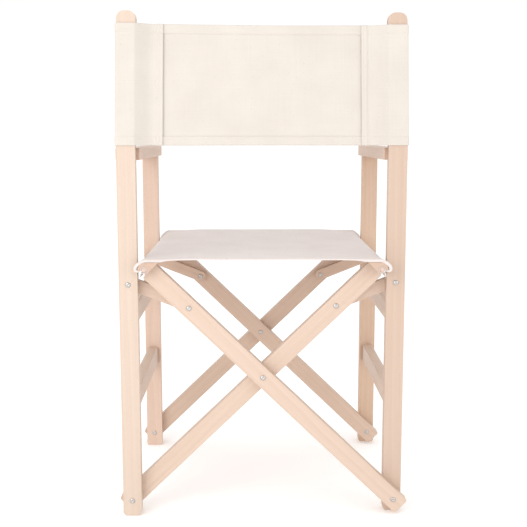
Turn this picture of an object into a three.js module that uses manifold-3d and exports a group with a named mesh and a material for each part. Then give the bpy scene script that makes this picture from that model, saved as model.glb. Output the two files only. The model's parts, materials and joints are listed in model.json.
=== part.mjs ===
// Folding chair with two side frames, two crossed leg frames and loose canvas seat and back.
// Millimetres, +Z up. The chair stands on z = 0, x runs from the sitter's right to left as seen
// from behind (left is -x), and y runs from the rear posts (-y) to the front posts (+y).

import * as THREE from 'three';
import { mergeVertices } from 'three/addons/utils/BufferGeometryUtils.js';
import Module from 'manifold-3d';

const wasm = await Module();
wasm.setup();

// ---------- Driving dimensions ----------

const GAP = 0.3; // left between two pieces that touch
const HALF_GAP = GAP / 2;

const POST_X = 228; // centre line of every post
const POST_WIDTH = 31.5;
const REAR_POST_HEIGHT = 860;
const BOARD = 19; // thickness of posts and crossed legs, front to back
const LAYER = 185; // plane between the two board layers, at the front and at the rear

const FOOT_PIVOT_Z = 27;
const CROSS_PIVOT_Z = 247;
const LEG_ANGLE = Math.atan2(CROSS_PIVOT_Z - FOOT_PIVOT_Z, POST_X);
const LOWER_ARM = Math.hypot(CROSS_PIVOT_Z - FOOT_PIVOT_Z, POST_X); // foot pivot to cross pivot
const LINK_ARM = 175; // cross pivot to the link's pivot on the leg
const LEG_TOP = 266.3; // cross pivot to the leg's square top end
const LEG_WIDTH = 31;
const FOOT_BEYOND_PIVOT = 19.5;

const LINK_POST_Z = 409;
const LINK_WIDTH = 21;
const LINK_BOARD = 12;

const ARMREST_BOTTOM = 618;
const ARMREST_THICKNESS = 20;
const ARMREST_INNER = 206.5;
const ARMREST_OUTER = 247.5;
const ARMREST_OVERHANG = 21; // past the front post

const STRETCHER_HEIGHT = 35;
const STRETCHER_WIDTH = 19;
const STRETCHER_CENTRES = { lower: 198.5, upper: 352.5 };
const TENON_HEIGHT = 24;
const TENON_LENGTH = 11;

const SHANK_RADIUS = 3;
const RIVET_HOLE_RADIUS = 3.3;
const HEAD_RADIUS = 4.75;
const HEAD_HEIGHT = 2;

const RAIL_LENGTH = 449;
const RAIL_TOP = 449.5;
const NOSE_RADIUS = 12.6; // outer top edge of the seat rail
const NOSE_CENTRE = { x: 196.7, z: 436.9 };
const TIP_RADIUS = 2.1; // rounded lower end of the nose
const GROOVE_CENTRE = { x: 199, z: 437 };
const GROOVE_RADIUS = 6.2;
const SEAT_ROD_RADIUS = 4.3;

const CLOTH = 1.4;
const SEAT_CLOTH_LENGTH = 451;
const SEAT_FOLD_X = 172; // where the seat cloth leaves the rail
const BACK_BOTTOM = 642;
const BACK_TOP = 841;
const BACK_FOLD_X = 209; // where the back cloth leaves the post
const BACK_SEAM_X = 168; // where the rear flap is sewn to the back cloth
const LEAN_START = BACK_BOTTOM; // the stretched back pulls the rear posts inwards above this
const LEAN_AT_TOP = 5.3;

const PEG_RADIUS = 4; // armrest pegs
const PIN_RADIUS = 2.5; // pins between legs and seat rails
const PIN_OFFSET = 9; // above the leg's centre line
const PIN_IN_LEG = 14;
const PIN_IN_RAIL = 9;

// ---------- Materials ----------

const beech = (name) => new THREE.MeshStandardMaterial({ name, color: 0xe9cdb0, roughness: 0.62 });
const canvas = (name) => new THREE.MeshStandardMaterial({ name, color: 0xeee7da, roughness: 0.95 });
const steel = (name) => {
  return new THREE.MeshStandardMaterial({ name, color: 0xc9cbcd, roughness: 0.3, metalness: 1 });
};

// ---------- Small helpers ----------

const radians = THREE.MathUtils.degToRad;

const sideName = (side) => (side < 0 ? 'left' : 'right');

const endName = (end) => (end < 0 ? 'rear' : 'front');

// Inner face |y| of the board layer that holds the post, and the leg top, of one corner.
// Opposite corners share a layer, which lets each leg pass beside the post it is pivoted to.
const layerOf = (side, end) => (side * end > 0 ? LAYER : LAYER - BOARD);

const arc = (cx, cy, radius, startDegrees, endDegrees, steps) => {
  const points = [];
  for (let i = 0; i <= steps; i += 1) {
    const a = radians(startDegrees + ((endDegrees - startDegrees) * i) / steps);
    points.push(new THREE.Vector2(cx + radius * Math.cos(a), cy + radius * Math.sin(a)));
  }
  return points;
};

const points2 = (...pairs) => pairs.map(([x, y]) => new THREE.Vector2(x, y));

const circleHole = (x, y, radius) => new THREE.Path(arc(x, y, radius, 0, 345, 15));

// A rectangle with its own corner radius at the low and at the high end of the second axis.
const roundedRectangle = (x0, x1, y0, y1, lowRadius, highRadius, steps = 4) => {
  const lo = lowRadius;
  const hi = highRadius;
  return new THREE.Shape([
    ...arc(x0 + lo, y0 + lo, lo, 180, 270, steps),
    ...arc(x1 - lo, y0 + lo, lo, 270, 360, steps),
    ...arc(x1 - hi, y1 - hi, hi, 0, 90, steps),
    ...arc(x0 + hi, y1 - hi, hi, 90, 180, steps),
  ]);
};

// Where the pull of the stretched back moves a point to, along x.
const pulledX = (x, z) => {
  const rise = Math.max(0, z - LEAN_START) / (REAR_POST_HEIGHT - LEAN_START);
  const share = Math.min(1, Math.abs(x) / BACK_FOLD_X);
  return x - Math.sign(x) * share * rise * LEAN_AT_TOP;
};

// A rear post's outline in x and z, pulled inwards, with a corner where the lean starts.
const pulledOutline = (points) => {
  const pulled = [];
  points.forEach((point, i) => {
    const next = points[(i + 1) % points.length];
    pulled.push(new THREE.Vector2(pulledX(point.x, point.y), point.y));
    if ((point.y < LEAN_START) !== (next.y < LEAN_START)) {
      pulled.push(new THREE.Vector2(point.x, LEAN_START));
    }
  });
  return new THREE.Shape(pulled);
};

const pulledInwards = (geometry) => {
  const places = geometry.attributes.position;
  for (let i = 0; i < places.count; i += 1) {
    places.setX(i, pulledX(places.getX(i), places.getZ(i)));
  }
  geometry.computeVertexNormals();
  return geometry;
};

// A shape drawn in x and z, made solid from y0 to y1.
const extrudeAlongY = (shape, y0, y1) => {
  const geometry = new THREE.ExtrudeGeometry(shape, { depth: y1 - y0, bevelEnabled: false });
  geometry.rotateX(Math.PI / 2);
  geometry.translate(0, y1, 0);
  return geometry;
};

// A shape drawn in x and y, made solid from z0 to z1.
const extrudeAlongZ = (shape, z0, z1) => {
  const geometry = new THREE.ExtrudeGeometry(shape, { depth: z1 - z0, bevelEnabled: false });
  geometry.translate(0, 0, z0);
  return geometry;
};

// A board's faces from front to back, each set in by half the gap.
const boardSpan = (innerY, thickness, end) => {
  const faces = [end * innerY, end * (innerY + thickness)].sort((a, b) => a - b);
  return [faces[0] + HALF_GAP, faces[1] - HALF_GAP];
};

const toManifold = (geometry) => {
  const bare = geometry.clone();
  bare.deleteAttribute('normal');
  bare.deleteAttribute('uv');
  const merged = mergeVertices(bare, 1e-4);
  return new wasm.Manifold(new wasm.Mesh({
    numProp: 3,
    vertProperties: new Float32Array(merged.attributes.position.array),
    triVerts: new Uint32Array(merged.index.array),
  }));
};

const fromManifold = (solid) => {
  const mesh = solid.getMesh();
  const geometry = new THREE.BufferGeometry();
  geometry.setAttribute('position', new THREE.BufferAttribute(mesh.vertProperties, 3));
  geometry.setIndex(new THREE.BufferAttribute(mesh.triVerts, 1));
  geometry.computeVertexNormals();
  return geometry;
};

const cut = (geometry, tools) => {
  let solid = toManifold(geometry);
  for (const tool of tools) solid = solid.subtract(toManifold(tool));
  return fromManifold(solid);
};

const join = (geometries) => {
  let solid = toManifold(geometries[0]);
  for (const other of geometries.slice(1)) solid = solid.add(toManifold(other));
  return fromManifold(solid);
};

const box = (x0, x1, y0, y1, z0, z1) => {
  const geometry = new THREE.BoxGeometry(x1 - x0, y1 - y0, z1 - z0);
  geometry.translate((x0 + x1) / 2, (y0 + y1) / 2, (z0 + z1) / 2);
  return geometry;
};

const rodAlongY = (radius, x, y0, y1, z, sides = 16) => {
  const geometry = new THREE.CylinderGeometry(radius, radius, y1 - y0, sides);
  geometry.translate(x, (y0 + y1) / 2, z);
  return geometry;
};

const rodAlongZ = (radius, x, y, z0, z1, sides = 16) => {
  const geometry = new THREE.CylinderGeometry(radius, radius, z1 - z0, sides);
  geometry.rotateX(Math.PI / 2);
  geometry.translate(x, y, (z0 + z1) / 2);
  return geometry;
};

const chair = new THREE.Group();

const addTo = (group, name, geometry, material) => {
  const mesh = new THREE.Mesh(geometry, material(name));
  mesh.name = name;
  group.add(mesh);
  return mesh;
};

// ---------- Side frames: posts, stretchers, armrest ----------

const postSpan = (side, end) => boardSpan(layerOf(side, end), BOARD, end);

const mortise = (side, end, centreZ) => {
  const half = STRETCHER_WIDTH / 2 + GAP;
  const x = side * POST_X;
  const innerFace = end * layerOf(side, end);
  const depth = end * (TENON_LENGTH + 2 * GAP);
  const [y0, y1] = [innerFace - end, innerFace + depth].sort((a, b) => a - b);
  const tall = TENON_HEIGHT / 2 + GAP;
  return box(x - half, x + half, y0, y1, centreZ - tall, centreZ + tall);
};

const PEG_Z = ARMREST_BOTTOM + ARMREST_THICKNESS / 2;
const REAR_PEG_IN_POST = 12;
const REAR_PEG_IN_ARM = 18;
const FRONT_PEG_IN_POST = 20;
const FRONT_PEG_IN_ARM = 12;

const makePost = (side, end) => {
  const rear = end < 0;
  const top = rear ? REAR_POST_HEIGHT : ARMREST_BOTTOM - GAP;
  const x = side * POST_X;
  const half = POST_WIDTH / 2;
  const footRadius = rear ? 8 : 4;
  const topRadius = rear ? 12.5 : 1.5;
  const upright = roundedRectangle(x - half, x + half, 0, top, footRadius, topRadius, 5);
  const outline = rear ? pulledOutline(upright.getPoints()) : upright;
  outline.holes.push(circleHole(x, FOOT_PIVOT_Z, RIVET_HOLE_RADIUS));
  outline.holes.push(circleHole(x, LINK_POST_Z, RIVET_HOLE_RADIUS));
  const [y0, y1] = postSpan(side, end);
  const tools = Object.values(STRETCHER_CENTRES).map((z) => mortise(side, end, z));
  const holeRadius = PEG_RADIUS + GAP;
  if (rear) {
    tools.push(rodAlongY(holeRadius, x, y1 - REAR_PEG_IN_POST - GAP, y1 + 1, PEG_Z));
  } else {
    const low = ARMREST_BOTTOM - FRONT_PEG_IN_POST - GAP;
    tools.push(rodAlongZ(holeRadius, x, (y0 + y1) / 2, low, ARMREST_BOTTOM + 1));
  }
  return cut(extrudeAlongY(outline, y0, y1), tools);
};

// Drawn in y and z, then turned so that its thickness runs along x.
const makeStretcher = (side, centreZ) => {
  const rearFace = postSpan(side, -1)[1] + GAP;
  const frontFace = postSpan(side, 1)[0] - GAP;
  const half = STRETCHER_HEIGHT / 2;
  const tenon = TENON_HEIGHT / 2;
  const rearEnd = rearFace - TENON_LENGTH;
  const frontEnd = frontFace + TENON_LENGTH;
  const outline = new THREE.Shape(points2(
    [rearFace, -half], [frontFace, -half], [frontFace, -tenon], [frontEnd, -tenon],
    [frontEnd, tenon], [frontFace, tenon], [frontFace, half], [rearFace, half],
    [rearFace, tenon], [rearEnd, tenon], [rearEnd, -tenon], [rearFace, -tenon],
  ));
  const options = { depth: STRETCHER_WIDTH, bevelEnabled: false };
  const geometry = new THREE.ExtrudeGeometry(outline, options);
  geometry.rotateX(Math.PI / 2);
  geometry.rotateZ(Math.PI / 2);
  geometry.translate(side * POST_X - STRETCHER_WIDTH / 2, 0, centreZ);
  return geometry;
};

const makeArmrest = (side) => {
  const rearFace = postSpan(side, -1)[1] + GAP;
  const frontPost = postSpan(side, 1);
  const [x0, x1] = [side * ARMREST_INNER, side * ARMREST_OUTER].sort((a, b) => a - b);
  const frontEnd = frontPost[1] + ARMREST_OVERHANG;
  const outline = roundedRectangle(x0, x1, rearFace, frontEnd, 2, 12, 6);
  const body = extrudeAlongZ(outline, ARMREST_BOTTOM, ARMREST_BOTTOM + ARMREST_THICKNESS);
  const x = side * POST_X;
  const holeRadius = PEG_RADIUS + GAP;
  const frontY = (frontPost[0] + frontPost[1]) / 2;
  const holeTop = ARMREST_BOTTOM + FRONT_PEG_IN_ARM + GAP;
  return cut(body, [
    rodAlongY(holeRadius, x, rearFace - 1, rearFace + REAR_PEG_IN_ARM + GAP, PEG_Z),
    rodAlongZ(holeRadius, x, frontY, ARMREST_BOTTOM - 1, holeTop),
  ]);
};

const addArmrestPegs = (side) => {
  const x = side * POST_X;
  const rearFace = postSpan(side, -1)[1];
  const rearPeg = rodAlongY(
    PEG_RADIUS, x, rearFace - REAR_PEG_IN_POST, rearFace + REAR_PEG_IN_ARM, PEG_Z, 12,
  );
  addTo(chair, `armrest_peg_${sideName(side)}_rear`, rearPeg, beech);
  const frontPost = postSpan(side, 1);
  const low = ARMREST_BOTTOM - FRONT_PEG_IN_POST;
  const high = ARMREST_BOTTOM + FRONT_PEG_IN_ARM;
  const y = (frontPost[0] + frontPost[1]) / 2;
  addTo(chair, `armrest_peg_${sideName(side)}_front`, rodAlongZ(PEG_RADIUS, x, y, low, high, 12), beech);
};

for (const side of [-1, 1]) {
  for (const end of [-1, 1]) {
    addTo(chair, `post_${sideName(side)}_${endName(end)}`, makePost(side, end), beech);
  }
  for (const [level, z] of Object.entries(STRETCHER_CENTRES)) {
    addTo(chair, `stretcher_${sideName(side)}_${level}`, makeStretcher(side, z), beech);
  }
  addTo(chair, `armrest_${sideName(side)}`, makeArmrest(side), beech);
  addArmrestPegs(side);
}

// ---------- Rivets ----------

// Profile of a domed head whose flat side is at y, bulging along the sign of the direction.
const domeProfile = (y, direction) => {
  const points = [new THREE.Vector2(HEAD_RADIUS, y)];
  for (const [radius, height] of [[0.94, 0.34], [0.78, 0.66], [0.5, 0.89], [0, 1]]) {
    points.push(new THREE.Vector2(radius * HEAD_RADIUS, y + direction * height * HEAD_HEIGHT));
  }
  return points;
};

// A shank along y with a domed head beyond y0, beyond y1 or beyond both.
const makeRivet = (y0, y1, headAtLow, headAtHigh) => {
  const low = headAtLow ? y0 - HALF_GAP : y0 + HALF_GAP;
  const high = headAtHigh ? y1 + HALF_GAP : y1 - HALF_GAP;
  const start = headAtLow ? domeProfile(low, -1).reverse() : points2([0, low]);
  const finish = headAtHigh ? domeProfile(high, 1) : points2([0, high]);
  const shank = points2([SHANK_RADIUS, low], [SHANK_RADIUS, high]);
  return new THREE.LatheGeometry([...start, ...shank, ...finish], 16);
};

const addRivet = (group, name, x, z, geometry) => {
  addTo(group, name, geometry, steel).position.set(x, 0, z);
};

// ---------- Crossed leg frames ----------

// Each half is drawn for the right-hand seat rail. Turned half a turn about z it is the left one.

const legDirection = new THREE.Vector3(Math.cos(LEG_ANGLE), 0, Math.sin(LEG_ANGLE));
const linkPivot = {
  x: LINK_ARM * Math.cos(LEG_ANGLE),
  z: CROSS_PIVOT_Z + LINK_ARM * Math.sin(LEG_ANGLE),
};

// A rod laid along the leg, from one distance from the cross pivot to another.
const rodAlongLeg = (radius, start, finish, y) => {
  const geometry = new THREE.CylinderGeometry(radius, radius, finish - start, 12);
  geometry.rotateZ(-Math.PI / 2);
  geometry.translate((start + finish) / 2, 0, PIN_OFFSET);
  geometry.rotateY(-LEG_ANGLE);
  geometry.translate(0, y, CROSS_PIVOT_Z);
  return geometry;
};

const makeLeg = (y0, y1) => {
  const half = LEG_WIDTH / 2;
  const footEnd = -(LOWER_ARM + FOOT_BEYOND_PIVOT);
  const r = 4;
  const outline = new THREE.Shape([
    ...arc(footEnd + r, -half + r, r, 180, 270, 4),
    ...points2([LEG_TOP, -half], [LEG_TOP, half]),
    ...arc(footEnd + r, half - r, r, 90, 180, 4),
  ]);
  for (const x of [-LOWER_ARM, 0, LINK_ARM]) {
    outline.holes.push(circleHole(x, 0, RIVET_HOLE_RADIUS));
  }
  const geometry = extrudeAlongY(outline, y0, y1);
  geometry.rotateY(-LEG_ANGLE);
  geometry.translate(0, 0, CROSS_PIVOT_Z);
  const start = LEG_TOP - PIN_IN_LEG - GAP;
  return cut(geometry, [rodAlongLeg(PIN_RADIUS + GAP, start, LEG_TOP + 1, (y0 + y1) / 2)]);
};

// The rail rests on the square leg ends, has a flat top and a rounded outer edge, and is
// grooved from below to hold the rod in the hem of the seat cloth.
const railOutline = () => {
  const seatFace = LEG_TOP + GAP;
  const onSeatFace = (z) => {
    const rise = (z - CROSS_PIVOT_Z) * Math.sin(LEG_ANGLE);
    return new THREE.Vector2((seatFace - rise) / Math.cos(LEG_ANGLE), z);
  };
  const innerTop = onSeatFace(RAIL_TOP);
  const eased = 1.5;
  const lowest = 427.3;
  const tipCentre = { x: NOSE_CENTRE.x + NOSE_RADIUS - TIP_RADIUS, z: NOSE_CENTRE.z };
  return new THREE.Shape([
    new THREE.Vector2(innerTop.x + eased, RAIL_TOP),
    onSeatFace(RAIL_TOP - eased),
    onSeatFace(lowest),
    ...arc(GROOVE_CENTRE.x, GROOVE_CENTRE.z, GROOVE_RADIUS, 260, -8, 22),
    ...arc(tipCentre.x, tipCentre.z, TIP_RADIUS, -150, -20, 5),
    ...arc(NOSE_CENTRE.x, NOSE_CENTRE.z, NOSE_RADIUS, 0, 90, 9),
  ]);
};

const makeRail = (pinRows) => {
  const body = extrudeAlongY(railOutline(), -RAIL_LENGTH / 2, RAIL_LENGTH / 2);
  const finish = LEG_TOP + PIN_IN_RAIL + 2 * GAP;
  return cut(body, pinRows.map((y) => rodAlongLeg(PIN_RADIUS + GAP, LEG_TOP - 1, finish, y)));
};

const makeLink = (y0, y1) => {
  const dx = POST_X - linkPivot.x;
  const dz = LINK_POST_Z - linkPivot.z;
  const tilt = THREE.MathUtils.radToDeg(Math.atan2(dz, dx));
  const r = LINK_WIDTH / 2;
  const outline = new THREE.Shape([
    ...arc(POST_X, LINK_POST_Z, r, tilt - 90, tilt + 90, 12),
    ...arc(linkPivot.x, linkPivot.z, r, tilt + 90, tilt + 270, 12),
  ]);
  outline.holes.push(circleHole(POST_X, LINK_POST_Z, RIVET_HOLE_RADIUS));
  outline.holes.push(circleHole(linkPivot.x, linkPivot.z, RIVET_HOLE_RADIUS));
  return extrudeAlongY(outline, y0, y1);
};

// The seat cloth's hem: over the rail, round its nose and round the rod in the groove.
const makeSeatHem = () => {
  const [y0, y1] = [-SEAT_CLOTH_LENGTH / 2, SEAT_CLOTH_LENGTH / 2];
  const inner = NOSE_RADIUS + GAP;
  const outer = inner + CLOTH;
  const top = RAIL_TOP + GAP;
  const tipX = NOSE_CENTRE.x + NOSE_RADIUS - TIP_RADIUS;
  const tipInner = TIP_RADIUS + GAP;
  const tipOuter = tipInner + CLOTH;
  const over = new THREE.Shape([
    new THREE.Vector2(SEAT_FOLD_X, top),
    ...arc(NOSE_CENTRE.x, NOSE_CENTRE.z, inner, 90, 0, 9),
    ...arc(tipX, NOSE_CENTRE.z, tipInner, -20, -110, 4),
    ...arc(tipX, NOSE_CENTRE.z, tipOuter, -110, -20, 4),
    ...arc(NOSE_CENTRE.x, NOSE_CENTRE.z, outer, 0, 90, 9),
    new THREE.Vector2(SEAT_FOLD_X, top + CLOTH),
  ]);
  const loopOuter = GROOVE_RADIUS - GAP;
  const loop = new THREE.Shape(arc(GROOVE_CENTRE.x, GROOVE_CENTRE.z, loopOuter, 0, 345, 23));
  loop.holes.push(circleHole(GROOVE_CENTRE.x, GROOVE_CENTRE.z, SEAT_ROD_RADIUS + GAP));
  const neck = new THREE.Shape(points2(
    [206.4, 434.4], [206.4, 433.1], [203.2, 432.4], [203.2, 434.2],
  ));
  const tail = new THREE.Shape(points2(
    [199.6, 432.2], [202.0, 424.4], [204.1, 424.9], [201.8, 432.6],
  ));
  return join([over, loop, neck, tail].map((shape) => extrudeAlongY(shape, y0, y1)));
};

const makeSeatPanel = () => {
  const bottom = RAIL_TOP + GAP;
  const half = SEAT_CLOTH_LENGTH / 2;
  return box(HALF_GAP, SEAT_FOLD_X - GAP, -half, half, bottom, bottom + CLOTH);
};

for (const side of [-1, 1]) {
  const half = new THREE.Group();
  half.rotation.z = side < 0 ? Math.PI : 0;
  chair.add(half);
  const pinRows = [];
  for (const end of [-1, 1]) {
    const turnedEnd = end * side; // this end as seen inside the turned group
    const corner = `${sideName(side)}_${endName(end)}`;
    const inner = layerOf(1, turnedEnd);
    const [legLow, legHigh] = boardSpan(inner, BOARD, turnedEnd);
    const [linkLow, linkHigh] = boardSpan(inner - LINK_BOARD, LINK_BOARD, turnedEnd);
    pinRows.push((legLow + legHigh) / 2);
    addTo(half, `cross_leg_${corner}`, makeLeg(legLow, legHigh), beech);
    addTo(half, `link_${corner}`, makeLink(linkLow, linkHigh), beech);
    const pin = rodAlongLeg(
      PIN_RADIUS, LEG_TOP - PIN_IN_LEG, LEG_TOP + PIN_IN_RAIL + GAP, (legLow + legHigh) / 2,
    );
    addTo(half, `rail_pin_${corner}`, pin, beech);

    const outerFace = turnedEnd * (inner + BOARD);
    const innerFace = turnedEnd * inner;
    const linkFace = turnedEnd * (inner - LINK_BOARD);
    const layers = [turnedEnd * (LAYER - BOARD), turnedEnd * (LAYER + BOARD)];
    const [low, high] = layers.sort((a, b) => a - b);
    addRivet(half, `foot_rivet_${corner}`, POST_X, FOOT_PIVOT_Z, makeRivet(low, high, true, true));
    const [postLow, postHigh] = [outerFace, linkFace].sort((a, b) => a - b);
    const postRivet = makeRivet(postLow, postHigh, true, true);
    addRivet(half, `link_rivet_${corner}`, POST_X, LINK_POST_Z, postRivet);
    // The rivet through leg and link is in two screwed halves, one in each board.
    const legIsLow = turnedEnd < 0;
    const [screwLow, screwHigh] = [outerFace, innerFace].sort((a, b) => a - b);
    const screw = makeRivet(screwLow, screwHigh, legIsLow, !legIsLow);
    addRivet(half, `leg_screw_${corner}`, linkPivot.x, linkPivot.z, screw);
    const [nutLow, nutHigh] = [innerFace, linkFace].sort((a, b) => a - b);
    const nut = makeRivet(nutLow, nutHigh, !legIsLow, legIsLow);
    addRivet(half, `link_nut_${corner}`, linkPivot.x, linkPivot.z, nut);
  }
  addTo(half, `seat_rail_${sideName(side)}`, makeRail(pinRows), beech);
  const rodEnd = RAIL_LENGTH / 2 - 1;
  const { x, z } = GROOVE_CENTRE;
  const rod = rodAlongY(SEAT_ROD_RADIUS, x, -rodEnd, rodEnd, z, 16);
  addTo(half, `seat_rod_${sideName(side)}`, rod, beech);
  addTo(half, `seat_hem_${sideName(side)}`, makeSeatHem(), canvas);
  addTo(half, `seat_panel_${sideName(side)}`, makeSeatPanel(), canvas);
}

for (const end of [-1, 1]) {
  const [low, high] = [end * (LAYER - BOARD), end * (LAYER + BOARD)].sort((a, b) => a - b);
  addRivet(chair, `cross_rivet_${endName(end)}`, 0, CROSS_PIVOT_Z, makeRivet(low, high, true, true));
}

// ---------- Canvas back ----------

const backFaces = (side) => {
  const [postRear, postFront] = postSpan(side, -1);
  return { front: postFront + GAP, rear: postRear - GAP };
};

// The sleeve goes round the outside of the post, open towards the chair's middle.
const makeBackSleeve = (side) => {
  const { front, rear } = backFaces(side);
  const outside = POST_X + POST_WIDTH / 2 + GAP;
  const outline = points2(
    [BACK_FOLD_X, front], [outside, front], [outside, rear], [BACK_FOLD_X, rear],
    [BACK_FOLD_X, rear - CLOTH], [outside + CLOTH, rear - CLOTH],
    [outside + CLOTH, front + CLOTH], [BACK_FOLD_X, front + CLOTH],
  );
  const shape = new THREE.Shape(outline.map((p) => new THREE.Vector2(side * p.x, p.y)));
  return pulledInwards(extrudeAlongZ(shape, BACK_BOTTOM, BACK_TOP));
};

// One half of the back, from the post's inner edge to the middle, with the rear flap that
// slants forward from the sleeve to its seam.
const makeBackPanel = (side) => {
  const { front, rear } = backFaces(side);
  const middle = -LAYER + BOARD / 2 + CLOTH / 2; // front surface at x = 0
  const edge = BACK_FOLD_X - GAP;
  const frontAt = (x) => middle + ((front + CLOTH - middle) * x) / edge;
  const outline = points2(
    [HALF_GAP, frontAt(HALF_GAP)], [edge, frontAt(edge)], [edge, frontAt(edge) - CLOTH],
    [BACK_SEAM_X + 6, frontAt(BACK_SEAM_X + 6) - CLOTH],
    [edge, rear], [edge, rear - CLOTH],
    [BACK_SEAM_X, frontAt(BACK_SEAM_X) - 2 * CLOTH],
    [BACK_SEAM_X, frontAt(BACK_SEAM_X) - CLOTH], [HALF_GAP, frontAt(HALF_GAP) - CLOTH],
  );
  const shape = new THREE.Shape(outline.map((p) => new THREE.Vector2(side * p.x, p.y)));
  return pulledInwards(extrudeAlongZ(shape, BACK_BOTTOM, BACK_TOP));
};

for (const side of [-1, 1]) {
  addTo(chair, `back_sleeve_${sideName(side)}`, makeBackSleeve(side), canvas);
  addTo(chair, `back_panel_${sideName(side)}`, makeBackPanel(side), canvas);
}

export default chair;
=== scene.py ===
"""A folding chair with a beech frame and a canvas seat and back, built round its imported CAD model.

Metres, +Z up. The rear of the chair faces -Y. "outer" is the face of a cloth that shows from
outside its sleeve or hem, and "inner" is the face that lies against the wood.
"""

import json
import math

import bmesh
import bpy
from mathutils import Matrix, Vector, noise

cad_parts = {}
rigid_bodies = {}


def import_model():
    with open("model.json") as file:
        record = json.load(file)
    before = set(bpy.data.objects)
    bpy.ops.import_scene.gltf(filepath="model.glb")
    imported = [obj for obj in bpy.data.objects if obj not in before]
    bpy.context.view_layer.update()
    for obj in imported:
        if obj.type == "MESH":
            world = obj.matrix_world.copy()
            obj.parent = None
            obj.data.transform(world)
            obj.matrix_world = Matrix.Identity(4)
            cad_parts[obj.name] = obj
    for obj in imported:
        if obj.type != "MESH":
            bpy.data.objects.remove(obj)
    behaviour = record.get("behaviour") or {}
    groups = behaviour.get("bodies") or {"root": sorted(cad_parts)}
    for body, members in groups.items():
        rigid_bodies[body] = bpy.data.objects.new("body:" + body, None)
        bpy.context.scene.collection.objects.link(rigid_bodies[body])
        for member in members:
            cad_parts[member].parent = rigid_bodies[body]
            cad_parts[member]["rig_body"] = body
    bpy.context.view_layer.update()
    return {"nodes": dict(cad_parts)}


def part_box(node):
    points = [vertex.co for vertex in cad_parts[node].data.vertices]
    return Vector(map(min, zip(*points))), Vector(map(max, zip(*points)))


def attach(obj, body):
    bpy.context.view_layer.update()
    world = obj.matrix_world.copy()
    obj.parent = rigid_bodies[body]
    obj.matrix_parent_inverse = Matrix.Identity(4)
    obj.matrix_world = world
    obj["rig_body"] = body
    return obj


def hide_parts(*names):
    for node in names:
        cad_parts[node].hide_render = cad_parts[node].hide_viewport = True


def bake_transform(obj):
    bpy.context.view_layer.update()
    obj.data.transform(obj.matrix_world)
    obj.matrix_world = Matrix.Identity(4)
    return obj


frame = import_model()

MM = 0.001
SIDES = {"left": -1, "right": 1}
ENDS = ("rear", "front")

# Cloth
CLEARANCE = 0.3 * MM  # between cloth and wood
CLOTH = 1.3 * MM
EDGE_ROOM = 1.4 * MM  # from the edge of the CAD stand-in to the cloth's first row
HEM_WIDTH = 13.7 * MM
HEM_EXTRA = 1.3 * MM  # the folded layer adds this much thickness
STITCH_INSET = 11.3 * MM  # from the cloth's edge to its row of stitches
STITCH_DIP = 0.22 * MM  # how far the row pulls the cloth in
STITCH_DIP_WIDTH = 1.1 * MM  # and how far to each side
STITCH_PITCH = 3.8 * MM
STITCH_LENGTH = 2.7 * MM
THREAD_RADIUS = 0.38 * MM
BEAD_SIDES = 6
CLOTH_STEP = 7 * MM  # longest face of a cloth mesh
FOLD_STEPS = 4  # faces round the fold at a cloth's edge

# Seat rail and rod, as in the CAD
NOSE_RADIUS = 12.6 * MM
TIP_RADIUS = 2.1 * MM
LOOP_END = 285  # degrees round the rod at which the hem leaves it
SEAT_FLARE = 4.5 * MM  # how far the hem's open ends stand off the rail
SEAT_SAG = 1.5 * MM
SEAT_LIFT = {"rear": 5 * MM, "front": 8.5 * MM}  # how far its free edges stand up at mid-span
RAIL_LIFT = {"rear": 3.2 * MM, "front": 6 * MM}  # and how far over the rails
HEM_ROLL = 3.4 * MM  # most that the hem thickens where it stands off the rail
SEAT_FOLD = 172 * MM  # from the middle to where the seat bends
TAIL_BEND = Vector((5.1, 1.4)) * MM  # middle point of the tail's curve, from where it leaves the rod
TAIL_REACH = 4.5 * MM  # how far out from there it ends
TAIL_LIFT = 0.4 * MM  # its end is this much above the bottom of the CAD hem
TAIL_SEAM = 4.5 * MM  # from the hem's end to the stitches of its tail
TAIL_STEPS = 7  # faces along the tail

# Back
POST_EDGE = 1.3 * MM  # radius of the post's eased edges
FLAP_LANDS = 187 * MM  # where the rear flap meets the back, from the middle
FLAP_ENDS = 168 * MM
FLAP_OFFSET = 2.8 * MM  # between the middles of the flap and the back
FLAP_ROOT = 1.5 * MM  # the flap leaves the post this far outside the post's inner edge
FLAP_BENDS = (7 * MM, 30 * MM)  # its radii at the post and where it lands
FLAP_STEP = 1 * MM  # longest face near its end
FLAP_HEM = 10 * MM
FLAP_HEM_EXTRA = 0.9 * MM  # the folded end adds this much to a face
FLAP_SEAM = 5 * MM  # from the flap's end to its stitches
FLAP_SEAM_DIP = 0.5 * MM
BACK_SAG = 1.2 * MM  # the top edge hangs this much at the middle
BACK_BELLY = 2.5 * MM  # the middle stands this far to the rear
BACK_BEND = 40 * MM  # radius at the post's inner edge
BACK_FOLD = 209 * MM  # from the middle to where the back bends
LEAN_START = 642 * MM  # height from which the stretched back pulls the rear posts inwards
LEAN_END = 860 * MM
LEAN = 5.3 * MM  # how far it pulls their tops


# ---------- Small helpers ----------


def centre(node):
    low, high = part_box(node)
    return (low + high) / 2


def smooth(value, start, end):
    """0 before start, 1 after end, and an even curve between them."""
    t = min(max((value - start) / (end - start), 0), 1)
    return t * t * (3 - 2 * t)


def arc(middle, radius, start, end, step=10):
    """Points on a circle from one angle to another, in degrees."""
    count = max(2, round(abs(end - start) / step))
    angles = [math.radians(start + (end - start) * k / count) for k in range(count + 1)]
    return [middle + radius * Vector((math.cos(a), math.sin(a))) for a in angles]


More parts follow.
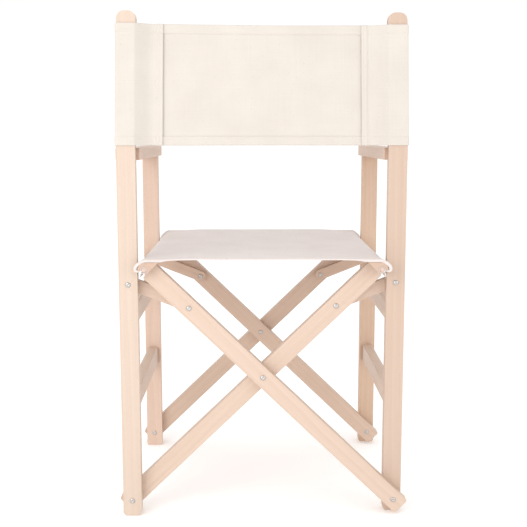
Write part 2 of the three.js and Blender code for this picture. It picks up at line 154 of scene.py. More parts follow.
def rounded(corners, radii):
    """A line through the corners, with an arc of its own radius at each one between the ends."""
    points = [corners[0]]
    for before, corner, after, radius in zip(corners, corners[1:], corners[2:], radii):
        back = (before - corner).normalized()
        ahead = (after - corner).normalized()
        half_turn = (math.pi - back.angle(ahead)) / 2
        middle = corner + (back + ahead).normalized() * (radius / math.cos(half_turn))
        start = corner + back * radius * math.tan(half_turn) - middle
        angle = math.degrees(math.atan2(start.y, start.x))
        to_left = ahead.x * back.y - ahead.y * back.x > 0
        sweep = math.degrees(2 * half_turn) * (1 if to_left else -1)
        points += arc(middle, radius, angle, angle + sweep)
    return points + [corners[-1]]


def filled(points, step):
    """The same line, with points added so that no two are further apart than step."""
    line = [points[0]]
    for start, end in zip(points, points[1:]):
        count = max(1, math.ceil((end - start).length / step))
        line += [start.lerp(end, k / count) for k in range(1, count + 1)]
    return line


class Station:
    """A place on a cloth's line: its point, the direction of its outer face, and the distance
    along the line from the chair's middle."""

    def __init__(self, point, normal, along):
        self.point, self.normal, self.along = point, normal, along


def stations(points):
    """A station at each point of a line that starts at the chair's middle."""
    places, along = [], 0
    for k, point in enumerate(points):
        ahead = points[min(k + 1, len(points) - 1)] - points[max(k - 1, 0)]
        along += (point - points[k - 1]).length if k else 0
        places.append(Station(point, Vector((-ahead.y, ahead.x)).normalized(), along))
    return places


def station_at(places, along):
    """The station at a distance along the line, between two of the given ones."""
    for a, b in zip(places, places[1:]):
        if b.along >= along:
            t = (along - a.along) / max(b.along - a.along, 1e-9)
            return Station(a.point.lerp(b.point, t), a.normal.lerp(b.normal, t), along)
    return places[-1]


def cloth_rows(low, high):
    """Places across a cloth, close together at its two hems and further apart between them."""
    insets = [x * MM for x in (0, 1, 3, 6, 9)]
    insets += [STITCH_INSET + x * STITCH_DIP_WIDTH for x in (-1, 0, 1)]
    insets += [HEM_WIDTH + x * MM for x in (-0.4, 0.4, 3, 6, 11)]
    inside = filled([Vector((low + insets[-1], 0)), Vector((high - insets[-1], 0))], CLOTH_STEP)
    between = [p.x for p in inside[1:-1]]
    return [low + x for x in insets] + between + [high - x for x in reversed(insets)]


def hem(row, low, high):
    """1 in the hems along a cloth's two edges, and 0 between them."""
    inset = min(row - low, high - row)
    return 1 - smooth(inset, HEM_WIDTH - 0.5 * MM, HEM_WIDTH + 0.5 * MM)


def stitch_dip(row, low, high):
    """How far a row of stitches pulls the cloth in."""
    inset = min(row - low, high - row)
    return STITCH_DIP * (1 - smooth(abs(inset - STITCH_INSET), 0, STITCH_DIP_WIDTH))


# ---------- Meshes ----------


def new_object(name, mesh, material):
    """A smooth-shaded object from a bmesh."""
    bmesh.ops.recalc_face_normals(mesh, faces=mesh.faces)
    for face in mesh.faces:
        face.smooth = True
    data = bpy.data.meshes.new(name)
    mesh.to_mesh(data)
    mesh.free()
    data.materials.append(material)
    obj = bpy.data.objects.new(name, data)
    bpy.context.scene.collection.objects.link(obj)
    return obj


def join_rings(mesh, rings):
    """Faces between each ring of vertices and the next. A ring can be a single vertex."""
    for a, b in zip(rings, rings[1:]):
        count = max(len(a), len(b))
        for k in range(count):
            m = (k + 1) % count
            corners = [a[k % len(a)], a[m % len(a)], b[m % len(b)], b[k % len(b)]]
            mesh.faces.new(list(dict.fromkeys(corners)))


def cloth_mesh(name, places, rows, place, thickness, sign, material):
    """A closed sheet of cloth, lofted along its line. Each ring goes over the outer face, round
    the fold at one edge, back over the inner face and round the fold at the other edge."""
    mesh = bmesh.new()
    flat = mesh.loops.layers.uv.new("flat cloth")

    def fold(station, row, outward):
        outer, inner = thickness(station, row)
        for k in range(1, FOLD_STEPS):
            a = math.pi * (0.5 - k / FOLD_STEPS) * outward
            offset = (outer - inner) / 2 + (outer + inner) / 2 * math.sin(a)
            yield row + outward * (outer + inner) / 2 * math.cos(a), offset

    rings, where = [], {}
    for station in places:
        spots = [(row, thickness(station, row)[0]) for row in rows]
        spots += fold(station, rows[-1], 1)
        spots += [(row, -thickness(station, row)[1]) for row in reversed(rows)]
        spots += fold(station, rows[0], -1)
        ring = [mesh.verts.new(place(station, row, offset)) for row, offset in spots]
        for vertex, (row, _) in zip(ring, spots):
            where[vertex] = (sign * station.along, row)
        rings.append(ring)
    join_rings(mesh, rings)

    # The first and the last ring are closed, with a sharp edge round each.
    caps = []
    last = len(rows) - 1
    inner_last = last + FOLD_STEPS
    for ring in (rings[0], rings[-1]):
        for k in range(last):
            far = inner_last + last - k
            caps.append(mesh.faces.new((ring[k], ring[k + 1], ring[far - 1], ring[far])))
        caps.append(mesh.faces.new(ring[last : inner_last + 1]))
        caps.append(mesh.faces.new(ring[inner_last + last :] + ring[:1]))
    for cap in caps:
        for edge in cap.edges:
            if any(face not in caps for face in edge.link_faces):
                edge.smooth = False
    for face in mesh.faces:
        for corner in face.loops:
            corner[flat].uv = where[corner.vert]
    return new_object(name, mesh, material)


def add_bead(mesh, start, end):
    """One stitch: a short thread with narrowed ends."""
    turned = (end - start).to_track_quat("Z", "Y")
    rings = []
    for share, width in ((0, 0.45), (0.22, 1), (0.78, 1), (1, 0.45)):
        middle = start.lerp(end, share)
        ring = []
        for k in range(BEAD_SIDES):
            a = math.tau * k / BEAD_SIDES
            out = Vector((math.cos(a), math.sin(a), 0)) * THREAD_RADIUS * width
            ring.append(mesh.verts.new(middle + turned @ out))
        rings.append(ring)
    join_rings(mesh, rings)
    mesh.faces.new(rings[0])
    mesh.faces.new(rings[-1])


def stitch_line(mesh, point_at, start, end):
    """Stitches from one distance to another along a line, given its point at each distance."""
    count = int((end - start) / STITCH_PITCH)
    for k in range(count):
        a = start + (k + 0.5) * STITCH_PITCH - STITCH_LENGTH / 2
        add_bead(mesh, point_at(a), point_at(a + STITCH_LENGTH))


def face_point(shape, station, row, face):
    """A point on the outer or the inner face of a cloth. Its shape is the function that places
    a point of it and the one that gives its thickness."""
    place, thickness = shape
    outer, inner = thickness(station, row)
    return place(station, row, outer if face == "outer" else -inner)


def stitch_along(mesh, shape, places, row, face, end):
    """Stitches along a cloth's line, from the chair's middle."""
    stitch_line(mesh, lambda a: face_point(shape, station_at(places, a), row, face), 0, end)


def stitch_across(mesh, shape, station, face, start, end):
    """Stitches across a cloth, from one row to another."""
    stitch_line(mesh, lambda row: face_point(shape, station, row, face), start, end)


# ---------- Materials ----------


def new_material(name, roughness, metallic=0.0):
    material = bpy.data.materials.new(name)
    material.use_nodes = True
    tree = material.node_tree
    shader = tree.nodes["Principled BSDF"]
    shader.inputs["Roughness"].default_value = roughness
    shader.inputs["Metallic"].default_value = metallic
    return material, tree, shader


def put(tree, socket, value):
    """Links another node's output to a socket, or sets the socket to a constant."""
    if isinstance(value, bpy.types.NodeSocket):
        tree.links.new(value, socket)
    else:
        socket.default_value = value


def add_node(tree, kind, settings=None, **inputs):
    """A node with its settings and its inputs, each a value or another node's output."""
    node = tree.nodes.new(kind)
    for key, value in (settings or {}).items():
        setattr(node, key, value)
    for key, value in inputs.items():
        put(tree, node.inputs[key.replace("_", " ")], value)
    return node


def stretched(tree, vector, scale):
    node = add_node(tree, "ShaderNodeMapping", Vector=vector, Scale=scale)
    return node.outputs["Vector"]


def noise_of(tree, vector, scale=1.0, detail=2.0, distortion=0.0):
    node = add_node(
        tree, "ShaderNodeTexNoise", Vector=vector, Scale=scale, Detail=detail, Distortion=distortion
    )
    return node.outputs["Fac"]


def ranged(tree, value, low, high, to_low=0.0, to_high=1.0):
    """The value, moved from one range to another and kept inside it."""
    node = add_node(
        tree,
        "ShaderNodeMapRange",
        Value=value,
        From_Min=low,
        From_Max=high,
        To_Min=to_low,
        To_Max=to_high,
    )
    return node.outputs["Result"]


def math_of(tree, operation, a, b):
    node = tree.nodes.new("ShaderNodeMath")
    node.operation = operation
    put(tree, node.inputs[0], a)
    put(tree, node.inputs[1], b)
    return node.outputs["Value"]


def mixed(tree, share, a, b, blend="MIX"):
    """Colour a turning into colour b as share goes from 0 to 1."""
    node = tree.nodes.new("ShaderNodeMix")
    node.data_type = "RGBA"
    node.blend_type = blend
    factor, first, second = node.inputs[0], node.inputs[6], node.inputs[7]
    put(tree, factor, share)
    for socket, colour in ((first, a), (second, b)):
        put(tree, socket, (*colour, 1) if isinstance(colour, tuple) else colour)
    return node.outputs[2]


def bump(tree, shader, height, strength, distance):
    node = add_node(
        tree, "ShaderNodeBump", Height=height, Strength=strength, Distance=distance
    )
    tree.links.new(node.outputs["Normal"], shader.inputs["Normal"])


BEECH_PALE = (0.63, 0.49, 0.397)
BEECH_WARM = (0.58, 0.437, 0.345)
BEECH_FLECK = (0.46, 0.32, 0.235)
BEECH_END = (0.88, 0.81, 0.78)  # the sawn ends' colour is multiplied by this


def beech(name, along, seed, tone):
    """Beech with its grain along a direction, a figure of its own for each seed, and a tone, which
    for some boards holds painted light and shade.
    """
    material, tree, shader = new_material(name, 0.5)
    turn = Vector(along).rotation_difference(Vector((0, 0, 1))).to_euler()
    place = (0.37 * seed % 1.3, 0.53 * seed % 1.1, 0.71 * seed % 1.7)
    coordinates = tree.nodes.new("ShaderNodeTexCoord")
    turned = add_node(
        tree,
        "ShaderNodeMapping",
        Vector=coordinates.outputs["Object"],
        Rotation=turn,
        Location=place,
    )
    board = turned.outputs["Vector"]

    # Streaks, fibres and growth rings add up to the figure, and small dark flecks lie on it.
    streaks = noise_of(tree, stretched(tree, board, (75, 75, 2.4)), detail=4, distortion=0.4)
    fibres = noise_of(tree, stretched(tree, board, (620, 620, 14)), detail=3)
    bent = stretched(tree, board, (1, 1, 0.06))
    rings = add_node(
        tree,
        "ShaderNodeTexWave",
        {"wave_type": "RINGS", "rings_direction": "Z", "wave_profile": "SAW"},
        Vector=bent,
        Scale=34,
        Distortion=5,
        Detail=3,
        Detail_Scale=1.4,
    )
    figure = math_of(tree, "MULTIPLY", rings.outputs["Fac"], 0.22)
    figure = math_of(tree, "ADD", figure, math_of(tree, "MULTIPLY", streaks, 0.6))
    figure = math_of(tree, "ADD", figure, math_of(tree, "MULTIPLY", fibres, 0.35))
    # The tone paints light and shade onto some boards.
    pale = tuple(c * t for c, t in zip(BEECH_PALE, tone))
    warm = tuple(c * t for c, t in zip(BEECH_WARM, tone))
    wood = mixed(tree, ranged(tree, figure, 0.38, 0.80), pale, warm)
    flecks = noise_of(tree, stretched(tree, board, (1500, 1500, 190)), detail=1)
    fleck_share = ranged(tree, flecks, 0.63, 0.72, 0.0, 0.34)
    wood = mixed(tree, fleck_share, wood, BEECH_FLECK)

    # The sawn ends are darker than the faces.
    facing = tree.nodes.new("ShaderNodeVectorMath")
    facing.operation = "DOT_PRODUCT"
    tree.links.new(coordinates.outputs["Normal"], facing.inputs[0])
    facing.inputs[1].default_value = Vector(along).normalized()
    endwise = math_of(tree, "ABSOLUTE", facing.outputs["Value"], 0)
    wood = mixed(tree, ranged(tree, endwise, 0.7, 0.95), wood, BEECH_END, "MULTIPLY")
    tree.links.new(wood, shader.inputs["Base Color"])
    tree.links.new(ranged(tree, fibres, 0.3, 0.7, 0.44, 0.58), shader.inputs["Roughness"])
    bump(tree, shader, math_of(tree, "SUBTRACT", fibres, fleck_share), 0.25, 0.12 * MM)
    return material


CANVAS_PALE = (0.70, 0.645, 0.58)
CANVAS_DEEP = (0.635, 0.58, 0.515)
# The seat and the back are one canvas. The seat is painted lighter and bluer and the back darker, as
# painted light and shade for how the light falls on them.
SEAT_PAINTED_LIGHT = (1.04, 1.02, 1.10)
BACK_PAINTED_SHADE = (0.93, 0.935, 0.95)


def canvas(name, painted_light_tint):
    """Plain-woven cotton. Its coordinates are the flat cloth's own, in metres. Its tint paints light
    and shade onto it.
    """
    material, tree, shader = new_material(name, 0.9)
    shader.inputs["Sheen Weight"].default_value = 0.15
    shader.inputs["Sheen Roughness"].default_value = 0.5
    shader.inputs["Specular IOR Level"].default_value = 0.25
    flat = add_node(tree, "ShaderNodeUVMap", {"uv_map": "flat cloth"}).outputs["UV"]
    thread_pitch = 0.85 * MM
    wave_scale = math.tau / (20 * thread_pitch)
    across, down = (
        add_node(
            tree,
            "ShaderNodeTexWave",
            {"bands_direction": direction},
            Vector=flat,
            Scale=wave_scale,
            Distortion=0.6,
        ).outputs["Fac"]
        for direction in "XY"
    )
    weave = math_of(tree, "MULTIPLY", across, down)

    # Uneven threads and soft clouds vary the colour.
    slub_across = noise_of(tree, stretched(tree, flat, (12, 900, 1)), detail=2)
    slub_down = noise_of(tree, stretched(tree, flat, (900, 12, 1)), detail=2)
    slubs = math_of(tree, "ADD", slub_across, slub_down)
    clouds = noise_of(tree, flat, scale=14, detail=3)
    share = math_of(tree, "ADD", math_of(tree, "MULTIPLY", slubs, 0.45), clouds)
    # The tint paints light and shade: lighter on the seat, darker on the back.
    pale_with_painted_light = tuple(c * t for c, t in zip(CANVAS_PALE, painted_light_tint))
    deep_with_painted_light = tuple(c * t for c, t in zip(CANVAS_DEEP, painted_light_tint))
    cloth = mixed(tree, ranged(tree, share, 0.65, 1.3), pale_with_painted_light, deep_with_painted_light)

    # The gaps between the threads are painted darker as shade, and there are a few brown specks.
    painted_gap_shade = ranged(tree, weave, 0.0, 0.35, 0.12, 0.0)
    cloth = mixed(tree, painted_gap_shade, cloth, (0.45, 0.39, 0.32))
    specks = noise_of(tree, stretched(tree, flat, (700, 260, 1)), detail=0)
    cloth = mixed(tree, ranged(tree, specks, 0.78, 0.82, 0.0, 0.5), cloth, (0.42, 0.32, 0.22))
    tree.links.new(cloth, shader.inputs["Base Color"])
    height = math_of(tree, "ADD", weave, math_of(tree, "MULTIPLY", slubs, 0.4))
    bump(tree, shader, height, 0.35, 0.18 * MM)
    return material


def steel():
    """Bright plated steel with fine marks."""
    material, tree, shader = new_material("rivet_steel", 0.3, 1.0)
    coordinates = tree.nodes.new("ShaderNodeTexCoord").outputs["Object"]
    marks = noise_of(tree, stretched(tree, coordinates, (900, 900, 2600)), detail=3)
    tone = mixed(tree, marks, (0.57, 0.555, 0.54), (0.43, 0.415, 0.405))
    tree.links.new(tone, shader.inputs["Base Color"])
    tree.links.new(ranged(tree, marks, 0.3, 0.7, 0.22, 0.38), shader.inputs["Roughness"])
    bump(tree, shader, marks, 0.15, 0.05 * MM)
    return material


def thread():
    """Cotton sewing thread."""
    material, tree, shader = new_material("sewing_thread", 0.75)
    coordinates = tree.nodes.new("ShaderNodeTexCoord").outputs["Object"]
    twist = noise_of(tree, stretched(tree, coordinates, (2500, 2500, 2500)), detail=1)
    tone = mixed(tree, twist, (0.73, 0.675, 0.61), (0.63, 0.575, 0.51))
    tree.links.new(tone, shader.inputs["Base Color"])
    bump(tree, shader, twist, 0.4, 0.1 * MM)
    return material


# ---------- Wood ----------


def leg_direction(side):
    return centre(f"leg_screw_{side}_rear") - centre("cross_rivet_rear")


def link_direction(side):
    return centre(f"link_rivet_{side}_rear") - centre(f"leg_screw_{side}_rear")


def grain_of(name):
    """The direction of the grain of a wooden CAD node."""
    side = "left" if "left" in name else "right"
    in_plane = Vector((1, 0, 1))
    if name.startswith(("cross_leg", "rail_pin")):
        return in_plane * leg_direction(side)
    if name.startswith("link"):
        return in_plane * link_direction(side)
    if name.startswith("post") or name.startswith("armrest_peg") and name.endswith("front"):
        return Vector((0, 0, 1))
    return Vector((0, 1, 0))


def ease_edges(obj, width):
    """Rounds a CAD node's sharp edges and shades its flat faces flat."""
    weld = obj.modifiers.new("weld", "WELD")
    weld.merge_threshold = 0.01 * MM
    flatten = obj.modifiers.new("flatten", "DECIMATE")
    flatten.decimate_type = "DISSOLVE"
    flatten.angle_limit = math.radians(0.6)
    bevel = obj.modifiers.new("bevel", "BEVEL")
    bevel.width = width
    bevel.segments = 3
    bevel.limit_method = "ANGLE"
    bevel.angle_limit = math.radians(35)
    bevel.use_clamp_overlap = True
    shade = obj.modifiers.new("shade", "WEIGHTED_NORMAL")
    shade.weight = 80
    shade.keep_sharp = False


WOOD_WORDS = (
    "post",
    "stretcher",
    "armrest",
    "cross_leg",
    "link_left",
    "link_right",
    "rail_pin",
    "seat_rail",
    "seat_rod",
)

# How far the edges are eased
BOARD_EDGE = 1.3 * MM
EDGE_WIDTHS = {
    "armrest_peg": 0.6 * MM,
    "rail_pin": 0.5 * MM,
    "seat_rod": 0.6 * MM,
    "seat_rail": 0.9 * MM,
}

# How much lighter or darker a board is painted than the others, in red, green and blue. Partly this
# is each board's own tone and partly painted light and shade: the posts are painted lighter on the
# left, where the key light falls, and darker on the right, the front cross legs and links are
# painted darker as the shade under the seat, and the armrests are painted darker and pinker as their
# shaded undersides.
BOARD_TONES_AND_PAINTED_LIGHT = {
    "post_left_rear": (0.995, 1.04, 1.06),
    "post_right_rear": (0.905, 0.885, 0.875),
    "post_left_front": (1.06, 1.03, 1.03),
    "post_right_front": (0.99, 0.92, 0.845),
    "cross_leg_left_front": (0.97, 0.94, 0.92),
    "cross_leg_right_front": (0.95, 0.925, 0.90),
    "link_left_front": (0.91, 0.87, 0.84),
    "link_right_front": (0.93, 0.89, 0.86),
    "armrest_left": (1.0, 0.955, 0.935),
    "armrest_right": (1.0, 0.955, 0.935),
    "seat_rod_left": (1.12, 1.16, 1.22),
    "seat_rod_right": (1.12, 1.16, 1.22),
}

wooden = [name for name in sorted(frame["nodes"]) if name.startswith(WOOD_WORDS)]
for number, name in enumerate(wooden):
    node = frame["nodes"][name]
    node.data.materials.clear()
    # For some boards this tone is painted light and shade.
    tone = BOARD_TONES_AND_PAINTED_LIGHT.get(name, (1, 1, 1))
    node.data.materials.append(beech(f"beech_{name}", grain_of(name), number + 1, tone))
    node.data.polygons.foreach_set("use_smooth", [True] * len(node.data.polygons))
    widths = [width for word, width in EDGE_WIDTHS.items() if name.startswith(word)]
    ease_edges(node, (widths or [BOARD_EDGE])[0])


# ---------- Rivets ----------

SHANK_RADIUS = 3 * MM
HEAD_HEIGHT = 2 * MM
HEAD_SHARE = 0.93  # of the CAD head's radius
RIVET_SIDES = 36


def head_profile(cad_radius, height):
    """Radius and height of a pressed head, from its rim to the dimple at its middle."""
    radius = HEAD_SHARE * cad_radius
    rim = [(radius * 0.97, 0), (radius, height * 0.12), (radius * 0.985, height * 0.25)]
    dome = [
        (radius * 0.97 * math.cos(a), height * (0.25 + 0.75 * math.sin(a)))
        for a in (math.radians(k) for k in (15, 30, 42, 52, 60))
    ]
    dimple = [(radius * 0.40, height * 0.84), (radius * 0.33, height * 0.62), (0, height * 0.56)]
    return rim + dome + dimple


def make_rivet(name, low_head, high_head, material):
    """A rivet along y in the place of its CAD node, with a head at one end or at both."""
    low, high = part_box(name)
    middle = (low + high) / 2
    head = head_profile((high.x - low.x) / 2, HEAD_HEIGHT)
    start = low.y + (HEAD_HEIGHT if low_head else 0)
    finish = high.y - (HEAD_HEIGHT if high_head else 0)
    profile = [(r, start - h) for r, h in reversed(head)] if low_head else [(0, low.y)]
    profile += [(SHANK_RADIUS, start), (SHANK_RADIUS, finish)]
    profile += [(r, finish + h) for r, h in head] if high_head else [(0, high.y)]
    mesh = bmesh.new()
    rings = []
    for r, y in profile:
        if r == 0:
            rings.append([mesh.verts.new((middle.x, y, middle.z))])
            continue
        angles = [math.tau * k / RIVET_SIDES for k in range(RIVET_SIDES)]
        ring = [(middle.x + r * math.cos(a), y, middle.z + r * math.sin(a)) for a in angles]
        rings.append([mesh.verts.new(v) for v in ring])
    join_rings(mesh, rings)
    for edge in mesh.edges:
        if edge.is_manifold and edge.calc_face_angle() > math.radians(50):
            edge.smooth = False
    obj = new_object(f"{name}_metal", mesh, material)
    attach(obj, frame["nodes"][name]["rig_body"])
    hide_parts(name)


steel_material = steel()
for end in ENDS:
    make_rivet(f"cross_rivet_{end}", True, True, steel_material)
    for side in SIDES:
        make_rivet(f"foot_rivet_{side}_{end}", True, True, steel_material)
        make_rivet(f"link_rivet_{side}_{end}", True, True, steel_material)
        make_rivet(f"leg_screw_{side}_{end}", end == "rear", end == "front", steel_material)
        make_rivet(f"link_nut_{side}_{end}", end == "front", end == "rear", steel_material)


# ---------- Canvas seat ----------

rail_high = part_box("seat_rail_right")[1]
rod = Vector(centre("seat_rod_right").xz)
rod_radius = (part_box("seat_rod_right")[1].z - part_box("seat_rod_right")[0].z) / 2
nose = Vector((rail_high.x, rail_high.z)) - Vector((NOSE_RADIUS, NOSE_RADIUS))
tip = Vector((rail_high.x - TIP_RADIUS, nose.y))
cloth_lift = CLEARANCE + CLOTH / 2
loop_radius = rod_radius + cloth_lift
posts_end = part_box("post_right_front")[1].y  # the outermost face of any post, along y
seat_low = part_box("seat_hem_right")[0].y
seat_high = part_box("seat_hem_right")[1].y
hem_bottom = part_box("seat_hem_right")[0].z
seat_rows = cloth_rows(seat_low + EDGE_ROOM, seat_high - EDGE_ROOM)
thread_material = thread()


def seat_line():
    """The seat cloth's line in x and z for the right side: from the chair's middle over the
    rail, round its nose and tip, round the rod in the groove, and out as a short tail."""
    top = rail_high.z + cloth_lift
    points = filled([Vector((0, top)), Vector((nose.x, top))], CLOTH_STEP)[:-1]
    points += arc(nose, NOSE_RADIUS + cloth_lift, 90, 0)
    points += arc(tip, TIP_RADIUS + cloth_lift, 0, -180, 20)[1:]
    points += arc(rod, loop_radius, 0, LOOP_END, 15)[1:]
    start = points[-1]
    bend = start + TAIL_BEND
    end = Vector((start.x + TAIL_REACH, hem_bottom + TAIL_LIFT))
    for t in (k / TAIL_STEPS for k in range(1, TAIL_STEPS + 1)):
        points.append(start * (1 - t) ** 2 + bend * 2 * t * (1 - t) + end * t * t)
    return points


# Distances along the seat's line
seat_places = stations(seat_line())
nose_ends = nose.x + (NOSE_RADIUS + cloth_lift) * math.pi / 2
tip_ends = nose_ends + (TIP_RADIUS + cloth_lift) * math.pi
seat_length = seat_places[-1].along


def seat_rise(x, y):
    """Height of the stretched seat over its flat plane, from its sag and its shallow folds."""
    share = abs(x) / SEAT_FOLD
    if share >= 1:
        return 0
    span = math.cos(math.pi / 2 * share) ** 2
    sag = -SEAT_SAG * (1 - (y / seat_high) ** 2)
    folds = 0.7 * MM * noise.noise(Vector((x * 4, y * 17, 3.1)))
    folds += 0.3 * MM * noise.noise(Vector((x * 9, y * 40, 7.7)))
    return span * sag + math.sqrt(span) * folds


def nose_share(station):
    """0 on top of the rail and round its rod, and 1 at the side of its nose."""
    side = nose.x + NOSE_RADIUS
    if station.along < nose_ends:
        return smooth(station.point.x, nose.x, side)
    if station.along < tip_ends:
        return smooth(station.point.x, rod.x + loop_radius, side)
    return 0


def edge_rise(station, y):
    """How far the free edges of the seat stand up from its flat plane."""
    if station.along > nose_ends:
        return 0
    end = "front" if y > 0 else "rear"
    inward = 1 - smooth(station.point.x, 0.7 * SEAT_FOLD, 1.1 * SEAT_FOLD)
    lift = RAIL_LIFT[end] + (SEAT_LIFT[end] - RAIL_LIFT[end]) * inward
    return lift * smooth(abs(y) / seat_high, 0.3, 1) * (1 - nose_share(station))


def edge_flare(station, y):
    """How far the hem's open ends stand off the side of the rail, beyond the posts."""
    beyond = smooth(abs(y), posts_end + 1 * MM, seat_high)
    return SEAT_FLARE * nose_share(station) * beyond


def seat_thickness(station, row):
    """How far the outer and the inner face are from the cloth's line. The hem's folded layer lies
    mostly inside between the rails and outside on a rail, where the inner face follows the wood."""
    on_rail = smooth(station.along, SEAT_FOLD - 14 * MM, SEAT_FOLD + 2 * MM)
    before_tip = 1 - smooth(station.along, nose_ends - 4 * MM, nose_ends + 2 * MM)
    in_hem = hem(row, seat_rows[0], seat_rows[-1])
    dip = stitch_dip(row, seat_rows[0], seat_rows[-1]) * before_tip
    outer = CLOTH / 2 + in_hem * HEM_EXTRA * (0.25 + 0.5 * on_rail) * before_tip - dip
    room = edge_rise(station, row) + edge_flare(station, row)
    roll = min(HEM_ROLL, room * on_rail + HEM_EXTRA * (1 - on_rail))
    inner = CLOTH / 2 + in_hem * roll - dip * (1 - on_rail)
    return outer, inner


def seat_place(side):
    sign = SIDES[side]

    def place(station, row, offset):
        point = station.point + station.normal * offset
        x = sign * (point.x + edge_flare(station, row))
        rise = seat_rise(sign * station.point.x, row) + edge_rise(station, row)
        return Vector((x, row, point.y + rise))

    return place


def seat_stitches(side, place):
    mesh = bmesh.new()
    shape = (place, seat_thickness)
    for row in (seat_rows[0] + STITCH_INSET, seat_rows[-1] - STITCH_INSET):
        stitch_along(mesh, shape, seat_places, row, "outer", nose_ends)
        stitch_along(mesh, shape, seat_places, row, "inner", SEAT_FOLD)

    tail = station_at(seat_places, seat_length - TAIL_SEAM)
    for face in ("outer", "inner"):
        stitch_across(mesh, shape, tail, face, seat_low + 6 * MM, seat_high - 6 * MM)
    return new_object(f"seat_stitches_{side}", mesh, thread_material)


for side, sign in SIDES.items():
    place = seat_place(side)
    cloth = cloth_mesh(
        f"seat_cloth_{side}",
        seat_places,
        seat_rows,
        place,
        seat_thickness,
        sign,
        canvas(f"seat_canvas_{side}", SEAT_PAINTED_LIGHT),
    )
    stitches = seat_stitches(side, place)
    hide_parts(f"seat_hem_{side}", f"seat_panel_{side}")
    for piece in (cloth, stitches):
        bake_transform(piece)


# ---------- Canvas back ----------

sleeve_low, sleeve_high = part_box("back_sleeve_left")
back_rows = cloth_rows(sleeve_low.z + EDGE_ROOM, sleeve_high.z - EDGE_ROOM)
back_middle_z = (sleeve_low.z + sleeve_high.z) / 2
back_half_height = (sleeve_high.z - sleeve_low.z) / 2
fronts = {side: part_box(f"post_{side}_rear")[1].y + cloth_lift for side in SIDES}
back_middle_y = (fronts["left"] + fronts["right"]) / 2


def back_line(side):
    """The back cloth's line in x and y as if for the right side: from the chair's middle to the
    post, round it, and from its rear face forward to the back again as a flap."""
    low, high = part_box(f"post_{side}_rear")
    front, rear = high.y + cloth_lift, low.y - cloth_lift
    low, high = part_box(f"post_{side}_front")  # as wide as the rear post, and upright
    reach = max(abs(low.x), abs(high.x))
    inside = min(abs(low.x), abs(high.x))
    outside = reach + cloth_lift

    def back_at(x):
        return Vector((x, back_middle_y + (front - back_middle_y) * x / inside))

    lift = Vector((0, -FLAP_OFFSET))
    corners = [
        Vector((0, back_middle_y)),
        Vector((inside, front)),
        Vector((outside, front)),
        Vector((outside, rear)),
        Vector((inside + FLAP_ROOT, rear)),
        back_at(FLAP_LANDS) + lift,
        back_at(FLAP_ENDS) + lift,
    ]
    corner_radius = POST_EDGE + cloth_lift
    line = rounded(corners, [BACK_BEND, corner_radius, corner_radius, *FLAP_BENDS])
    return filled(line[:-1], CLOTH_STEP) + filled(line[-2:], FLAP_STEP)[1:]


def back_thickness(side, length):
    """The hems are folded to the rear of the back, and away from the post at the sleeve. The end
    of the flap is folded too, and only the right one lies close against the back."""
    low, high = back_rows[0], back_rows[-1]
    gap_closer = FLAP_HEM_EXTRA if side == "right" else 0

    def thickness(station, row):
        at_post = smooth(station.along, BACK_FOLD - 19 * MM, BACK_FOLD - 3 * MM)
        at_end = smooth(station.along - length, -FLAP_HEM, -FLAP_HEM + 1 * MM)
        folded = hem(row, low, high) * HEM_EXTRA
        dip = stitch_dip(row, low, high) * (1 - 0.6 * at_post)
        from_seam = abs(station.along - length + FLAP_SEAM)
        seam_dip = FLAP_SEAM_DIP * (1 - smooth(from_seam, 0, 2 * MM))
        outer = CLOTH / 2 + 0.4 * folded * at_post + FLAP_HEM_EXTRA * at_end - dip - seam_dip
        inner = CLOTH / 2 + folded * (1 - at_post) - dip * (1 - at_post) + gap_closer * at_end
        return outer, inner

    return thickness


def back_place(side):
    sign = SIDES[side]

    def place(station, row, offset):
        point = station.point + station.normal * offset
        across = min(abs(station.point.x) / BACK_FOLD, 1)
        span = math.cos(math.pi / 2 * across) ** 2
        height = (row - back_middle_z) / back_half_height
        drop = BACK_SAG * max(height, 0) + 0.3 * BACK_SAG * min(height, 0)
        rise = (row - LEAN_START) / (LEAN_END - LEAN_START)
        x = sign * (point.x - LEAN * rise * min(point.x / BACK_FOLD, 1))
        folds = 0.9 * MM * noise.noise(Vector((x * 5, row * 13, 11.3)))
        folds += 0.35 * MM * noise.noise(Vector((x * 13, row * 30, 2.9)))
        belly = -BACK_BELLY * span * (1 - 0.5 * height * height)
        return Vector((x, point.y + belly + math.sqrt(span) * folds, row - drop * span))

    return place


def back_stitches(side, places, place, thickness):
    mesh = bmesh.new()
    shape = (place, thickness)
    length = places[-1].along
    for row in (back_rows[0] + STITCH_INSET, back_rows[-1] - STITCH_INSET):
        stitch_along(mesh, shape, places, row, "outer", length - 3 * MM)
        stitch_along(mesh, shape, places, row, "inner", BACK_FOLD - 4 * MM)

    flap = station_at(places, length - FLAP_SEAM)
    panel = station_at(places, FLAP_ENDS + FLAP_SEAM)
    for station in (flap, panel):
        low, high = back_rows[0] + 2 * MM, back_rows[-1] - 2 * MM
        stitch_across(mesh, shape, station, "outer", low, high)
    return new_object(f"back_stitches_{side}", mesh, thread_material)


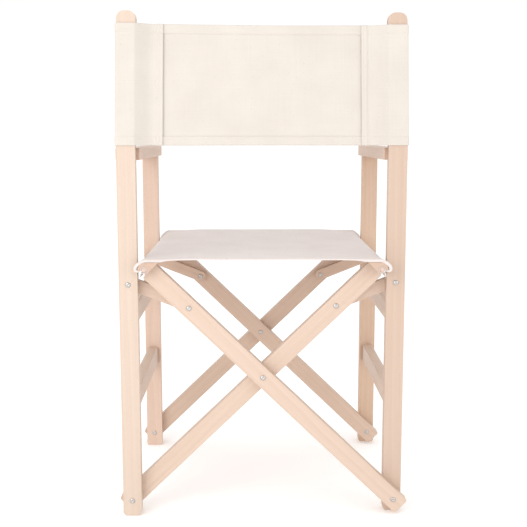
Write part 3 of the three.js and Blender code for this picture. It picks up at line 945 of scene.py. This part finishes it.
for side, sign in SIDES.items():
    places = stations(back_line(side))
    length = places[-1].along
    place = back_place(side)
    thickness = back_thickness(side, length)
    cloth = cloth_mesh(
        f"back_cloth_{side}",
        places,
        back_rows,
        place,
        thickness,
        sign,
        canvas(f"back_canvas_{side}", BACK_PAINTED_SHADE),
    )
    stitches = back_stitches(side, places, place, thickness)
    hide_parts(f"back_sleeve_{side}", f"back_panel_{side}")
    for piece in (cloth, stitches):
        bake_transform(piece)


# ---------- Floor, light and camera ----------


def make_floor():
    mesh = bmesh.new()
    bmesh.ops.create_grid(mesh, x_segments=1, y_segments=1, size=60)
    material, _, shader = new_material("pale_floor", 0.9)
    shader.inputs["Base Color"].default_value = (0.98, 0.98, 0.98, 1)
    shader.inputs["Emission Color"].default_value = (1, 1, 1, 1)
    shader.inputs["Emission Strength"].default_value = 0.1
    shader.inputs["Specular IOR Level"].default_value = 0.0
    floor = new_object("floor", mesh, material)
    floor.location.z = -0.2 * MM


def add_light(name, place, target, size, power, colour):
    data = bpy.data.lights.new(name, "AREA")
    data.shape = "DISK"
    data.size = size
    data.energy = power
    data.color = colour
    light = bpy.data.objects.new(name, data)
    light.location = place
    light.visible_camera = False
    light.rotation_euler = (Vector(target) - Vector(place)).to_track_quat("-Z", "Y").to_euler()
    bpy.context.scene.collection.objects.link(light)


make_floor()
add_light("key", (-1.3, -2.0, 1.2), (0, 0, 0.5), 1.8, 21, (1.0, 0.99, 0.975))
add_light("fill", (1.6, -1.8, 0.9), (0, 0, 0.45), 1.8, 9, (1.0, 0.98, 0.97))

world = bpy.data.worlds.new("studio")
world.use_nodes = True
world.node_tree.nodes["Background"].inputs["Color"].default_value = (1, 1, 1, 1)
world.node_tree.nodes["Background"].inputs["Strength"].default_value = 1.03
bpy.context.scene.world = world
bpy.context.scene.view_settings.view_transform = "Standard"

camera_data = bpy.data.cameras.new("camera")
camera_data.sensor_width = 36
camera_data.lens = 62.47
camera = bpy.data.objects.new("camera", camera_data)
camera.location = (-0.0192, -1.731, 0.6585)
camera.rotation_euler = (math.radians(90 - 7.95), 0, math.radians(-0.75))
bpy.context.scene.collection.objects.link(camera)
bpy.context.scene.camera = camera
